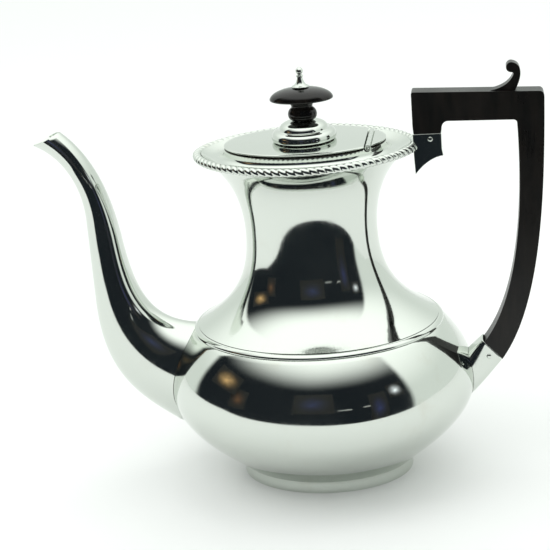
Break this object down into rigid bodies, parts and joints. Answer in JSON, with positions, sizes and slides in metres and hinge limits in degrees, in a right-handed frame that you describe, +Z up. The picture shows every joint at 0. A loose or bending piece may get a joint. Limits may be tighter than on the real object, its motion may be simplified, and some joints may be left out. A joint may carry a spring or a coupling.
{
  "type": "silver teapot",
  "caption": "Tall oval silver pot for serving hot drinks: squat belly, waisted neck, swan-neck spout, hinged flush lid with a dark knob, and a dark D-shaped handle.",
  "frame": {"origin": "centre of the bounding box's footprint, on the table plane under the foot ring", "axes": "+X from spout to handle, +Y across the pot, +Z up"},
  "size_m": [0.2734, 0.145, 0.23],
  "materials": {
    "polished_silver": "polished silver with fine polishing swirls and a little tarnish at the joints",
    "silver_fittings": "bright silver, slightly duller, scratched",
    "ebony": "near-black ebonised wood, waxed, semi-gloss"
  },
  "bodies": {
    "body": {"belly_bowl": "polished_silver", "base_plate": "polished_silver", "neck_shell": "polished_silver", "shoulder_wire": "polished_silver", "foot_ring": "polished_silver", "rim_cover": "polished_silver", "gadroon_border": "polished_silver", "spout": "polished_silver", "upper_socket": "polished_silver", "lower_socket": "polished_silver", "handle": "ebony", "upper_handle_rivet": "silver_fittings", "lower_handle_rivet": "silver_fittings", "hinge_plate": "polished_silver", "hinge_pin": "silver_fittings", "body_knuckle_a": "polished_silver", "body_knuckle_b": "polished_silver", "body_knuckle_c": "polished_silver"},
    "lid": {"lid_knuckle_a": "polished_silver", "lid_knuckle_b": "polished_silver", "lid_plate": "polished_silver", "lid_bezel": "polished_silver", "knob_boss": "polished_silver", "knob": "ebony", "finial_stud": "polished_silver", "knob_washer": "silver_fittings", "knob_nut": "silver_fittings"}
  },
  "joints": [
    {"name": "lid_hinge", "type": "hinge", "parent": "body", "child": "lid", "pos_m": [0.0462, 0, 0.1894], "axis": [0, 1, 0], "range_deg": [0, 77]}
  ]
}
